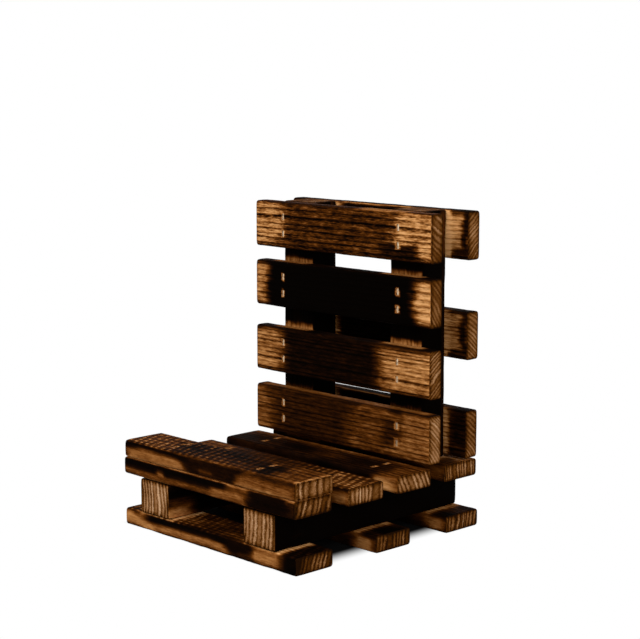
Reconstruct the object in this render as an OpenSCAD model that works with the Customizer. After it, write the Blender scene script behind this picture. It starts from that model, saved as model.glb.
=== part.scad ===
// Phone charging stand built like two small shipping pallets: one lies flat as the
// foot, the other stands upright on the rear of it as the back rest, and one more slat
// on the front edge stops the phone from sliding off.
// Millimetres. +X runs along the slats, +Y to the rear, +Z up.
// The origin is on the floor, below the middle of the whole stand.

/* [Slats] */
// Length of every slat
slat_len = 100; // [80:0.5:140]
// Width of every slat
slat_w = 19.4; // [15:0.1:21]
// Thickness of every slat
slat_t = 7; // [5:0.1:9]
// Radius that the slats' long edges are eased to
edge_r = 1; // [0.3:0.1:2]

/* [Stringers] */
// Width of the stringers, along the slats
stringer_w = 17.6; // [16:0.1:22]
// Depth of the stringers between the two layers of slats
stringer_h = 14; // [11:0.1:20]
// Distance from the left end of the slats to the left stringer
left_inset = 9.9; // [6:0.1:14]
// Distance from the right end of the slats to the right stringer
right_inset = 10.7; // [6:0.1:14]
// Radius that the stringers' long edges are eased to
stringer_edge_r = 0.6; // [0.2:0.1:1.5]

/* [Base pallet] */
// Length of the base stringers, front to rear
base_depth = 100; // [92:0.5:140]
// How far the bottom slats were nailed behind their even spacing, front to rear
bottom_slat_slip = [0, 1.7, 1.2]; // [0:0.1:2]
// How far the front top slat sits to the left of the others
front_slat_side_slip = 0.5; // [0:0.1:2]

/* [Back pallet] */
// Length of the upright stringers
back_h = 99.5; // [92:0.5:150]
// Distance of the back pallet from the rear ends of the base stringers
back_setback = 0.5; // [0:0.1:3]
// Gap under the lowest front slat
front_foot_gap = 1.4; // [0.5:0.1:4]
// Gap under the lowest rear slat
rear_foot_gap = 0.7; // [0.5:0.1:4]
// How far the front slats were nailed above their even spacing, top to bottom
front_slat_rise = [0, 1.1, -0.6, 0]; // [-1:0.1:2]
// How far the rear slats sit to the right of the others
rear_slat_side_slip = 0.5; // [0:0.1:2]

/* [Brads] */
// Length of the brads that go through one slat
brad_len = 15; // [12:0.5:17]
// Length of the brads that go through the lip and the slat below it
lip_brad_len = 20; // [19:0.5:24]
// Width of a brad's head, across the slat
brad_head_w = 2.6; // [1.8:0.1:3]
// Height of a brad's head
brad_head_h = 1; // [0.5:0.1:1.5]
// Width of a brad's shank, across the slat
brad_w = 1.5; // [1:0.1:1.7]
// Thickness of the flattened brad wire
brad_t = 1.2; // [0.8:0.1:1.3]
// Length of a brad's chisel point
brad_point = 2; // [1:0.1:3]
// Depth that the heads are driven below the wood
brad_set = 0.4; // [0.1:0.1:1]
// Distance between the two brads of one crossing, across the slat
brad_spread = 7; // [5:0.1:9]

/* [Screws] */
// Length of the screws that hold the back pallet up from below
screw_len = 45; // [40:1:50]
// Diameter of the screws
screw_d = 3; // [2.5:0.1:3.2]
// Diameter of the countersunk head
screw_head_d = 6; // [5:0.1:6.5]
// Height of the straight rim of the head
screw_rim_h = 0.4; // [0.2:0.1:0.8]
// Length of the screw's point
screw_point = 4; // [2:0.5:6]
// Depth of the screw head below the underside
screw_set = 0.3; // [0.1:0.1:1]
// Width across the cross recess in the head
recess_w = 3.2; // [2.4:0.1:3.6]
// Width of one arm of the cross recess
recess_t = 0.8; // [0.5:0.1:1]
// Depth of the cross recess
recess_depth = 1.4; // [0.8:0.1:1.8]

/* [Fastener places] */
// Place of the bottom slats' brads, outwards from a stringer's middle line
bottom_brad_out = -3; // [-3.4:0.1:-2.6]
// Place of the top slats' brads, outwards from a stringer's middle line
top_brad_out = 1; // [0.6:0.1:1.4]
// Place of the lip's brads, outwards from a stringer's middle line
lip_brad_out = -6; // [-6.6:0.1:-5.6]
// Place of the front slats' brads, outwards from a stringer's middle line
front_brad_out = 2; // [1.4:0.1:2.4]
// Place of the rear slats' brads, outwards from a stringer's middle line
rear_brad_out = -2; // [-3:0.1:-1]
// Place of the screws, outwards from a stringer's middle line
screw_out = 5; // [4.7:0.1:5.4]
// Place of the screws behind the middle of the upright stringers
screw_behind = 3.5; // [3:0.1:4]
// Clearance all round a fastener in its hole
fit_gap = 0.03; // [0.01:0.01:0.1]

/* [Hidden] */
$fn = 48;

slat_colour = "#5b3820";
stringer_colour = "#8a5e38";
brad_colour = "#b9a58c";
screw_colour = "#c8b45a";

// Slats in each layer, front to rear or top to bottom
bottom_slats = [0, 1, 2];
top_slats = [0, 1, 2, 3];
front_slats = [0, 1, 2, 3];
rear_slats = [0, 1, 2];

// Side of a stringer: -1 is the left one, 1 is the right one
LEFT = -1;
RIGHT = 1;

// The cut for a sunk head runs this far past the face of the wood
cut_past = slat_t / 2;

overall_depth = base_depth + max(0, bottom_slat_slip[2]);
front_y = -overall_depth / 2;
base_h = 2 * slat_t + stringer_h;
slat_1_top = base_h;
lip_top = base_h + slat_t;
back_top = base_h + back_h;

bottom_pitch = (base_depth - slat_w) / (len(bottom_slats) - 1);
top_pitch = (base_depth - slat_w) / (len(top_slats) - 1);
front_pitch = (back_h - front_foot_gap - slat_w) / (len(front_slats) - 1);
rear_pitch = (back_h - rear_foot_gap - slat_w) / (len(rear_slats) - 1);

rear_face_y = front_y + base_depth - back_setback;
back_stringer_y = rear_face_y - slat_t - stringer_h / 2;
front_face_y = rear_face_y - 2 * slat_t - stringer_h;

function stringer_x(side) = side == LEFT
    ? -slat_len / 2 + left_inset + stringer_w / 2
    : slat_len / 2 - right_inset - stringer_w / 2;

// Middle lines of the slats in each layer
function bottom_slat_y(i) = front_y + slat_w / 2 + i * bottom_pitch + bottom_slat_slip[i];
function top_slat_y(i) = front_y + slat_w / 2 + i * top_pitch;
function front_slat_z(i) = back_top - slat_w / 2 - i * front_pitch + front_slat_rise[i];
function rear_slat_z(i) = back_top - slat_w / 2 - i * rear_pitch;

// Section of a planed bar with eased edges, centred
module bar_section(across, up, r) {
    square([across - 2 * r, up], center = true);
    square([across, up - 2 * r], center = true);
    for (sx = [-1, 1], sy = [-1, 1])
        translate([sx * (across / 2 - r), sy * (up / 2 - r)])
            circle(r);
}

// Slat that lies flat, with the middle of its underside at the origin
module flat_slat() {
    translate([0, 0, slat_t / 2])
        rotate([90, 0, 90])
            linear_extrude(slat_len, center = true)
                bar_section(slat_w, slat_t, edge_r);
}

// Slat on edge, with the middle of its front face at the origin
module upright_slat() {
    translate([0, slat_t / 2, 0])
        rotate([90, 0, 90])
            linear_extrude(slat_len, center = true)
                bar_section(slat_t, slat_w, edge_r);
}

// Flattened wire brad with a T-head, driven down from the middle of its head's top face.
// The profile is given room all round to cut the brad's hole.
module brad(length, room = 0) {
    head = brad_head_w / 2 + room;
    shank = brad_w / 2 + room;
    neck = -brad_head_h - room;
    tip = -length - room;
    rotate([90, 0, 90])
        linear_extrude(brad_t + 2 * room, center = true)
            polygon([
                [-head, 0], [-head, neck], [-shank, neck], [-shank, tip + brad_point],
                [0, tip],
                [shank, tip + brad_point], [shank, neck], [head, neck], [head, 0]
            ]);
}

module brad_hole(length) {
    brad(length, fit_gap);
    translate([0, 0, (brad_set + cut_past) / 2])
        cube([brad_t + 2 * fit_gap, brad_head_w + 2 * fit_gap, brad_set + cut_past], center = true);
}

// Countersunk screw that points up from the middle of its head's underside
module screw_body(room = 0) {
    head = screw_head_d / 2 + room;
    shank = screw_d / 2 + room;
    rim = screw_rim_h + room;
    rotate_extrude()
        polygon([
            [0, 0], [head, 0], [head, rim], [shank, rim + head - shank],
            [shank, screw_len - screw_point], [0, screw_len + room]
        ]);
}

module screw() {
    difference() {
        screw_body();
        for (turn = [0, 90])
            rotate([0, 0, turn])
                cube([recess_w, recess_t, 2 * recess_depth], center = true);
    }
}

module screw_hole() {
    screw_body(fit_gap);
    translate([0, 0, -screw_set - cut_past])
        cylinder(d = screw_head_d + 2 * fit_gap, h = screw_set + cut_past + fit_gap);
}

// Puts its children at the fastener places of one stringer: out from its middle line,
// and either side of a slat's middle line across
module at_pair(side, out, across) {
    for (step = [-1, 1])
        translate([stringer_x(side) + side * out, across + step * brad_spread / 2])
            children();
}

// Fasteners of the slats i in one layer, into the stringers on the given sides
module bottom_layer(slats, sides) {
    for (i = slats, side = sides)
        at_pair(side, bottom_brad_out, bottom_slat_y(i))
            translate([0, 0, brad_set])
                rotate([180, 0, 0])
                    children();
}

module top_layer(slats, sides) {
    for (i = slats, side = sides)
        at_pair(side, top_brad_out, top_slat_y(i))
            translate([0, 0, slat_1_top - brad_set])
                children();
}

module lip_layer(sides) {
    for (side = sides)
        at_pair(side, lip_brad_out, top_slat_y(0))
            translate([0, 0, lip_top - brad_set])
                children();
}

module front_layer(slats, sides) {
    for (i = slats, side = sides)
        translate([0, front_face_y + brad_set, 0])
            rotate([90, 0, 0])
                at_pair(side, front_brad_out, front_slat_z(i))
                    children();
}

module rear_layer(slats, sides) {
    for (i = slats, side = sides)
        translate([0, rear_face_y - brad_set, 0])
            rotate([-90, 0, 0])
                at_pair(side, rear_brad_out, -rear_slat_z(i))
                    children();
}

module screw_places(sides) {
    for (side = sides)
        translate([stringer_x(side) + side * screw_out, back_stringer_y + screw_behind, screw_set])
            children();
}

module base_bottom_slat(i) {
    color(slat_colour)
        difference() {
            translate([0, bottom_slat_y(i), 0])
                flat_slat();
            bottom_layer([i], [LEFT, RIGHT])
                brad_hole(brad_len);
            screw_places([LEFT, RIGHT])
                screw_hole();
        }
}

module base_stringer(side) {
    color(stringer_colour)
        difference() {
            translate([stringer_x(side), front_y + base_depth / 2, slat_t + stringer_h / 2])
                rotate([90, 0, 0])
                    linear_extrude(base_depth, center = true)
                        bar_section(stringer_w, stringer_h, stringer_edge_r);
            bottom_layer(bottom_slats, [side])
                brad_hole(brad_len);
            top_layer(top_slats, [side])
                brad_hole(brad_len);
            lip_layer([side])
                brad_hole(lip_brad_len);
            screw_places([side])
                screw_hole();
        }
}

module base_top_slat(i) {
    side_slip = i == 0 ? -front_slat_side_slip : 0;
    color(slat_colour)
        difference() {
            translate([side_slip, top_slat_y(i), slat_t + stringer_h])
                flat_slat();
            top_layer([i], [LEFT, RIGHT])
                brad_hole(brad_len);
            lip_layer([LEFT, RIGHT])
                brad_hole(lip_brad_len);
            screw_places([LEFT, RIGHT])
                screw_hole();
        }
}

module phone_lip_slat() {
    color(slat_colour)
        difference() {
            translate([0, top_slat_y(0), base_h])
                flat_slat();
            lip_layer([LEFT, RIGHT])
                brad_hole(lip_brad_len);
        }
}

module back_stringer(side) {
    color(stringer_colour)
        difference() {
            translate([stringer_x(side), back_stringer_y, base_h])
                linear_extrude(back_h)
                    bar_section(stringer_w, stringer_h, stringer_edge_r);
            front_layer(front_slats, [side])
                brad_hole(brad_len);
            rear_layer(rear_slats, [side])
                brad_hole(brad_len);
            screw_places([side])
                screw_hole();
        }
}

module back_front_slat(i) {
    color(slat_colour)
        difference() {
            translate([0, front_face_y, front_slat_z(i)])
                upright_slat();
            front_layer([i], [LEFT, RIGHT])
                brad_hole(brad_len);
        }
}

module back_rear_slat(i) {
    color(slat_colour)
        difference() {
            translate([rear_slat_side_slip, rear_face_y - slat_t, rear_slat_z(i)])
                upright_slat();
            rear_layer([i], [LEFT, RIGHT])
                brad_hole(brad_len);
        }
}

module base_bottom_brads() {
    color(brad_colour)
        bottom_layer(bottom_slats, [LEFT, RIGHT])
            brad(brad_len);
}

module base_top_brads() {
    color(brad_colour)
        top_layer(top_slats, [LEFT, RIGHT])
            brad(brad_len);
}

module lip_brads() {
    color(brad_colour)
        lip_layer([LEFT, RIGHT])
            brad(lip_brad_len);
}

module back_front_brads() {
    color(brad_colour)
        front_layer(front_slats, [LEFT, RIGHT])
            brad(brad_len);
}

module back_rear_brads() {
    color(brad_colour)
        rear_layer(rear_slats, [LEFT, RIGHT])
            brad(brad_len);
}

module back_screws() {
    color(screw_colour)
        screw_places([LEFT, RIGHT])
            screw();
}

base_bottom_slat(0);  // base_bottom_slat_front
base_bottom_slat(1);  // base_bottom_slat_middle
base_bottom_slat(2);  // base_bottom_slat_rear
base_stringer(LEFT);  // base_stringer_left
base_stringer(RIGHT);  // base_stringer_right
base_top_slat(0);  // base_top_slat_1
base_top_slat(1);  // base_top_slat_2
base_top_slat(2);  // base_top_slat_3
base_top_slat(3);  // base_top_slat_4
phone_lip_slat();
back_stringer(LEFT);  // back_stringer_left
back_stringer(RIGHT);  // back_stringer_right
back_front_slat(0);  // back_front_slat_1
back_front_slat(1);  // back_front_slat_2
back_front_slat(2);  // back_front_slat_3
back_front_slat(3);  // back_front_slat_4
back_rear_slat(0);  // back_rear_slat_top
back_rear_slat(1);  // back_rear_slat_middle
back_rear_slat(2);  // back_rear_slat_bottom
base_bottom_brads();
base_top_brads();
lip_brads();
back_front_brads();
back_rear_brads();
back_screws();
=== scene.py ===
"""Looks of a phone stand made like two small pallets of torched softwood.

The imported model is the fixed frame. Each bar of wood is modelled again with worn edges, sunk
brad holes and its own growth rings and burn, and stands exactly where its node is. The brads
and screws keep their nodes and get a metal finish. Lengths are metres, and millimetres where
a name ends in _mm.
"""

import logging
import math
from dataclasses import dataclass, field
from enum import Enum

import bmesh
import bpy
import numpy as np
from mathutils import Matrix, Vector, noise


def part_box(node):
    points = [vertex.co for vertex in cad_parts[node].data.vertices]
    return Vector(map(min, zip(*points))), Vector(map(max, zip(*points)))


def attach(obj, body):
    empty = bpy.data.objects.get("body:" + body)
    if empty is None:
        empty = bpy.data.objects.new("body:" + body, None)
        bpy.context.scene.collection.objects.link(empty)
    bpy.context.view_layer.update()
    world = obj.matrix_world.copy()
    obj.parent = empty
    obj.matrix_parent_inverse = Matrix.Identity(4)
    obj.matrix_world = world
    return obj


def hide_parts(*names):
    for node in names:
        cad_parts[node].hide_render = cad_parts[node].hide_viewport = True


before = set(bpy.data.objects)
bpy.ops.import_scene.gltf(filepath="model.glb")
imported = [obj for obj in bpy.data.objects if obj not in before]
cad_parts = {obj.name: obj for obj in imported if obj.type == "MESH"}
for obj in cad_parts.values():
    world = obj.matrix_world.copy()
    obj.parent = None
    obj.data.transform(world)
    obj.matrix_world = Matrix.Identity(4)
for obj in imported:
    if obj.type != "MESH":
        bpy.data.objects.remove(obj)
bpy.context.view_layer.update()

LOG = logging.getLogger("phone_stand")
MM = 0.001


def linear(hex_colour: str) -> tuple[float, float, float, float]:
    """Turns an sRGB hex value into the linear colour that a shader takes.

    Args:
        hex_colour: Six hex digits with a leading hash, such as "#a0622f".

    Returns:
        Red, green, blue and an alpha of 1.
    """
    channels = []
    for start in (1, 3, 5):
        value = int(hex_colour[start : start + 2], 16) / 255
        channels.append(value / 12.92 if value <= 0.04045 else ((value + 0.055) / 1.055) ** 2.4)
    return (channels[0], channels[1], channels[2], 1.0)


def add_node(
    tree: bpy.types.NodeTree,
    kind: str,
    inputs: dict[str | int, object] | None = None,
    **settings: object,
) -> bpy.types.Node:
    """Adds one shader node with its settings, values and incoming links.

    Args:
        tree: The node tree that gets the node.
        kind: Blender's type name of the node.
        inputs: Socket name or index to a plain value, or to the output socket that feeds it.
        settings: Properties of the node itself.

    Returns:
        The new node.
    """
    node = tree.nodes.new(kind)
    for name, value in settings.items():
        setattr(node, name, value)
    for key, value in (inputs or {}).items():
        if isinstance(value, bpy.types.NodeSocket):
            tree.links.new(value, node.inputs[key])
        else:
            node.inputs[key].default_value = value
    return node


def set_ramp(ramp: bpy.types.ColorRamp, stops: tuple[tuple[float, str], ...]) -> None:
    """Gives a colour ramp its stops.

    Args:
        ramp: The ramp of a Color Ramp node.
        stops: Position and sRGB hex colour of each stop, in rising order.
    """
    while len(ramp.elements) < len(stops):
        ramp.elements.new(1.0)
    for element, (position, colour) in zip(ramp.elements, stops):
        element.position = position
        element.color = linear(colour)


class Cut(Enum):
    """Which sawn surface of the wood a finish is for."""

    SIDE = 0
    END = 1


class Lay(Enum):
    """How a bar lies: the axes of its grain, its width and its thickness."""

    FLAT = (0, 1, 2)
    UPRIGHT = (0, 2, 1)
    RAIL = (1, 0, 2)
    POST = (2, 0, 1)


class Face(Enum):
    """A face of a bar, as the axis and the sign of its outward normal."""

    LEFT = (0, -1)
    RIGHT = (0, 1)
    FRONT = (1, -1)
    REAR = (1, 1)
    UNDER = (2, -1)
    TOP = (2, 1)


@dataclass(frozen=True)
class TorchedWood:
    """Planed spruce, torched, wire-brushed and oiled.

    The flame leaves black along the corners and orange where it only passed. Brushing takes the
    soft earlywood out, so the dark latewood lines stand up a little, and the oil gives a low sheen.

    Attributes:
        name: Name of the material.
        cut: Side grain or end grain; not used.
        stops: Colours from bare wood at 0 to char at 1.
        ring_share: How much darker the latewood burns.
        fibre_share: How much single fibres vary.
        patch_share: How much the burn varies from place to place.
        relief_mm: Height of the brushed grain.
        wander: How far the ring lines wander, in rings.
        fray: How far single fibres stray from a ring line, in rings.
        ring_ground: Darkness that a faint ring fades into.
        ring_profile: Darkness from one ring line to the next.
    """

    name: str
    cut: Cut
    stops: tuple[tuple[float, str], ...]
    ring_share: float
    fibre_share: float
    patch_share: float
    relief_mm: float
    wander: float
    fray: float
    ring_ground: float
    ring_profile: tuple[tuple[float, str], ...]

    def make(self) -> bpy.types.Material:
        """Builds the material from the bar's own attributes.

        Returns:
            The finished material.
        """
        material = bpy.data.materials.new(self.name)
        material.use_nodes = True
        tree = material.node_tree
        tree.nodes.clear()
        grain = add_node(tree, "ShaderNodeAttribute", attribute_name="grain_mm").outputs["Vector"]
        ring = add_node(tree, "ShaderNodeAttribute", attribute_name="ring").outputs["Fac"]
        char = add_node(tree, "ShaderNodeAttribute", attribute_name="char").outputs["Fac"]
        mill = add_node(tree, "ShaderNodeAttribute", attribute_name="mill").outputs["Fac"]
        figure = add_node(tree, "ShaderNodeAttribute", attribute_name="figure").outputs["Fac"]

        # Spruce fibres are 0.03 mm wide and 3 mm long: drawn 0.4 mm wide, to show
        fibre = self.streaks(tree, grain, (0.34, 2.5, 2.5), 3.0)
        late = self.latewood(tree, grain, ring, fibre)
        streak = self.streaks(tree, grain, (0.09, 0.9, 0.9), 3.0)
        patch = self.streaks(tree, grain, (0.2, 0.35, 0.35), 3.0)
        worn = add_node(
            tree,
            "ShaderNodeMath",
            {0: self.mill_marks(tree, grain, late), 1: mill},
            operation="MULTIPLY",
        )

        uneven: bpy.types.NodeSocket | float = 0.0
        for value, share, middle in (
            (late, self.ring_share, 0.35),
            (fibre, self.fibre_share, 0.5),
            (streak, 0.8 * self.fibre_share, 0.5),
            (patch, self.patch_share, 0.5),
        ):
            offset = add_node(tree, "ShaderNodeMath", {0: value, 1: middle}, operation="SUBTRACT")
            uneven = add_node(
                tree,
                "ShaderNodeMath",
                {0: offset.outputs[0], 1: share, 2: uneven},
                operation="MULTIPLY_ADD",
            ).outputs[0]
        # Full char hides the grain, so it fades there
        spread = add_node(
            tree,
            "ShaderNodeMapRange",
            {"Value": char, "From Min": 0.6, "From Max": 1.05, "To Min": 1.0, "To Max": 0.1},
        )
        spread = add_node(
            tree, "ShaderNodeMath", {0: spread.outputs["Result"], 1: figure}, operation="MULTIPLY"
        )
        burn = add_node(
            tree,
            "ShaderNodeMath",
            {0: uneven, 1: spread.outputs[0], 2: char},
            operation="MULTIPLY_ADD",
        )
        burn = add_node(
            tree, "ShaderNodeMath", {0: burn.outputs[0], 1: worn.outputs[0]}, operation="SUBTRACT"
        ).outputs[0]
        ramp = add_node(tree, "ShaderNodeValToRGB", {0: burn})
        set_ramp(ramp.color_ramp, self.stops)

        rough = add_node(
            tree,
            "ShaderNodeMapRange",
            {"Value": burn, "From Min": 0.2, "From Max": 1.0, "To Min": 0.5, "To Max": 0.62},
        )
        height = add_node(
            tree, "ShaderNodeMath", {0: fibre, 1: 0.5, 2: late}, operation="MULTIPLY_ADD"
        )
        height = add_node(
            tree,
            "ShaderNodeMath",
            {0: worn.outputs[0], 1: 3.0, 2: height.outputs[0]},
            operation="MULTIPLY_ADD",
        )
        bump = add_node(
            tree,
            "ShaderNodeBump",
            {"Height": height.outputs[0], "Strength": 0.8, "Distance": self.relief_mm * MM},
        )
        shader = add_node(
            tree,
            "ShaderNodeBsdfPrincipled",
            {
                "Base Color": ramp.outputs["Color"],
                "Roughness": rough.outputs["Result"],
                "Normal": bump.outputs["Normal"],
                "Specular IOR Level": 0.003,
            },
        )
        add_node(tree, "ShaderNodeOutputMaterial", {"Surface": shader.outputs["BSDF"]})
        return material

    def latewood(
        self,
        tree: bpy.types.NodeTree,
        grain: bpy.types.NodeSocket,
        ring: bpy.types.NodeSocket,
        fibre: bpy.types.NodeSocket,
    ) -> bpy.types.NodeSocket:
        """Darkness of the growth rings, from 0 in earlywood to 1 in the latewood line.

        Args:
            tree: The material's node tree.
            grain: The bar's place along and across the grain, in millimetres.
            ring: The ring count at each point.
            fibre: The fibres' noise, which frays the lines.

        Returns:
            The socket with the darkness.
        """
        wave = self.streaks(tree, grain, (0.015, 0.25, 0.25), 2.0)
        shifted = add_node(
            tree, "ShaderNodeMath", {0: wave, 1: self.wander, 2: ring}, operation="MULTIPLY_ADD"
        ).outputs[0]
        shifted = add_node(
            tree, "ShaderNodeMath", {0: fibre, 1: self.fray, 2: shifted}, operation="MULTIPLY_ADD"
        ).outputs[0]
        part = add_node(tree, "ShaderNodeMath", {0: shifted}, operation="FRACT")
        profile = add_node(tree, "ShaderNodeValToRGB", {0: part.outputs[0]})
        set_ramp(profile.color_ramp, self.ring_profile)
        strength = add_node(
            tree,
            "ShaderNodeTexNoise",
            {"W": shifted, "Scale": 0.8, "Detail": 1.0},
            noise_dimensions="1D",
        )
        vary = add_node(
            tree,
            "ShaderNodeMapRange",
            {"Value": strength.outputs["Fac"], "From Min": 0.3, "From Max": 0.7, "To Min": 0.3},
        )
        above = add_node(
            tree,
            "ShaderNodeMath",
            {0: profile.outputs["Color"], 1: self.ring_ground},
            operation="SUBTRACT",
        )
        late = add_node(
            tree,
            "ShaderNodeMath",
            {0: above.outputs[0], 1: vary.outputs["Result"], 2: self.ring_ground},
            operation="MULTIPLY_ADD",
        )
        return late.outputs[0]

    def streaks(
        self,
        tree: bpy.types.NodeTree,
        grain: bpy.types.NodeSocket,
        per_mm: tuple[float, float, float],
        detail: float,
    ) -> bpy.types.NodeSocket:
        """Noise that is drawn out along the grain.

        Args:
            tree: The material's node tree.
            grain: The bar's place along and across the grain, in millimetres.
            per_mm: Noise cells per millimetre along, across and through the bar.
            detail: Number of finer octaves.

        Returns:
            The socket with the noise, from 0 to 1.
        """
        scaled = add_node(tree, "ShaderNodeVectorMath", {0: grain, 1: per_mm}, operation="MULTIPLY")
        cells = add_node(
            tree,
            "ShaderNodeTexNoise",
            {"Vector": scaled.outputs["Vector"], "Scale": 1.0, "Detail": detail, "Roughness": 0.6},
        )
        return cells.outputs["Fac"]

    def mill_marks(
        self, tree: bpy.types.NodeTree, grain: bpy.types.NodeSocket, late: bpy.types.NodeSocket
    ) -> bpy.types.NodeSocket:
        """Slanting ridges that a saw leaves across the grain, 3.6 mm apart.

        Args:
            tree: The material's node tree.
            grain: The bar's place along and across the grain, in millimetres.
            late: Darkness of the growth rings, whose hard lines stay dark.

        Returns:
            The socket with the ridges, from 0 in a groove to 0.5 on a crest.
        """
        wander = self.streaks(tree, grain, (0.05, 0.1, 0.1), 1.0)
        slant = add_node(
            tree, "ShaderNodeVectorMath", {0: grain, 1: (1.0, 0.31, 0.0)}, operation="DOT_PRODUCT"
        )
        bent = add_node(
            tree,
            "ShaderNodeMath",
            {0: wander, 1: 3.0, 2: slant.outputs["Value"]},
            operation="MULTIPLY_ADD",
        )
        phase = add_node(
            tree, "ShaderNodeMath", {0: bent.outputs[0], 1: math.tau / 3.6}, operation="MULTIPLY"
        )
        wave = add_node(tree, "ShaderNodeMath", {0: phase.outputs[0]}, operation="SINE")
        crest = add_node(
            tree,
            "ShaderNodeMapRange",
            {"Value": wave.outputs[0], "From Min": -0.6, "From Max": 1.0, "To Min": 0.0},
        )
        # The saw bit deeper on some fibres than on others, which breaks the ridges into dashes
        dash = add_node(
            tree,
            "ShaderNodeMapRange",
            {
                "Value": self.streaks(tree, grain, (0.16, 1.1, 1.1), 2.0),
                "From Min": 0.36,
                "From Max": 0.64,
                "To Min": 0.04,
                "To Max": 0.55,
            },
        )
        soft = add_node(
            tree, "ShaderNodeMapRange", {"Value": late, "To Min": 1.0, "To Max": 0.25}
        )
        ridge = add_node(
            tree,
            "ShaderNodeMath",
            {0: crest.outputs["Result"], 1: dash.outputs["Result"]},
            operation="MULTIPLY",
        )
        return add_node(
            tree,
            "ShaderNodeMath",
            {0: ridge.outputs[0], 1: soft.outputs["Result"]},
            operation="MULTIPLY",
        ).outputs[0]


@dataclass(frozen=True)
class PlatedWire:
    """Steel with a thin coat: brad wire in its yellowish resin, or yellow zinc on a screw.

    The drawn or tumbled surface scatters light a little, so a small head shows as a pale fleck.

    Attributes:
        name: Name of the material.
        clean: Colour of the clean coat.
        dull: Colour where soot has stained it.
        roughness: Middle roughness.
    """

    name: str
    clean: str
    dull: str
    roughness: float

    def make(self) -> bpy.types.Material:
        """Builds the material.

        Returns:
            The finished material.
        """
        material = bpy.data.materials.new(self.name)
        material.use_nodes = True
        tree = material.node_tree
        tree.nodes.clear()
        place = add_node(tree, "ShaderNodeTexCoord").outputs["Object"]
        # Stains are about 0.7 mm across
        stain = add_node(
            tree, "ShaderNodeTexNoise", {"Vector": place, "Scale": 1400.0, "Detail": 3.0}
        ).outputs["Fac"]
        colour = add_node(tree, "ShaderNodeValToRGB", {0: stain})
        set_ramp(colour.color_ramp, ((0.4, self.clean), (0.75, self.dull)))
        rough = add_node(
            tree,
            "ShaderNodeMath",
            {0: stain, 1: 0.3, 2: self.roughness - 0.15},
            operation="MULTIPLY_ADD",
        )
        bump = add_node(
            tree, "ShaderNodeBump", {"Height": stain, "Strength": 0.3, "Distance": 0.05 * MM}
        )
        shader = add_node(
            tree,
            "ShaderNodeBsdfPrincipled",
            {
                "Base Color": colour.outputs["Color"],
                "Metallic": 1.0,
                "Roughness": rough.outputs[0],
                "Normal": bump.outputs["Normal"],
            },
        )
        add_node(tree, "ShaderNodeOutputMaterial", {"Surface": shader.outputs["BSDF"]})
        return material


@dataclass(frozen=True)
class Scorch:
    """A place on one face where the flame stayed longer, or hardly went.

    Attributes:
        face: The face it is on.
        along: From where to where along the grain, in the stand's own millimetres.
        across: From where to where across the face, in millimetres from its middle line.
        level: The burn there, from 0 for bare wood to 1 for char.
        soft: Width in millimetres over which it fades into the rest.
        lick: How far its border flickers, from 0 for a straight one to 1.
    """

    face: Face
    along: tuple[float, float]
    across: tuple[float, float]
    level: float
    soft: float = 2.0
    lick: float = 1.0


@dataclass(frozen=True)
class Rings:
    """Growth rings of a bar, as they show on its end.

    Attributes:
        spacing: Distance between two rings, in millimetres.
        lean: Turn of the ring lines away from the bar's thickness, in degrees.
        pith: Distance of the tree's pith, in millimetres. A short one bends the lines.
    """

    spacing: float = 2.6
    lean: float = 0.0
    pith: float = 70.0


def smooth_step(value: np.ndarray, low: float, high: float) -> np.ndarray:
    """Rises smoothly from 0 at low to 1 at high.

    Args:
        value: The values to test.
        low: Where the rise starts.
        high: Where it ends.

    Returns:
        A value from 0 to 1 for each one given.
    """
    part = np.clip((value - low) / (high - low), 0.0, 1.0)
    return part * part * (3.0 - 2.0 * part)


def noise_at(points: np.ndarray, scale: tuple[float, float, float], seed: float) -> np.ndarray:
    """Smooth noise at each point.

    Args:
        points: Points in millimetres, one to a row.
        scale: Cells per millimetre along each column.
        seed: Shift that makes one bar differ from the next.

    Returns:
        A value from about -1 to 1 for each point.
    """
    placed = points * np.array(scale) + seed
    return np.array([noise.noise(Vector(row)) for row in placed])


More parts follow.
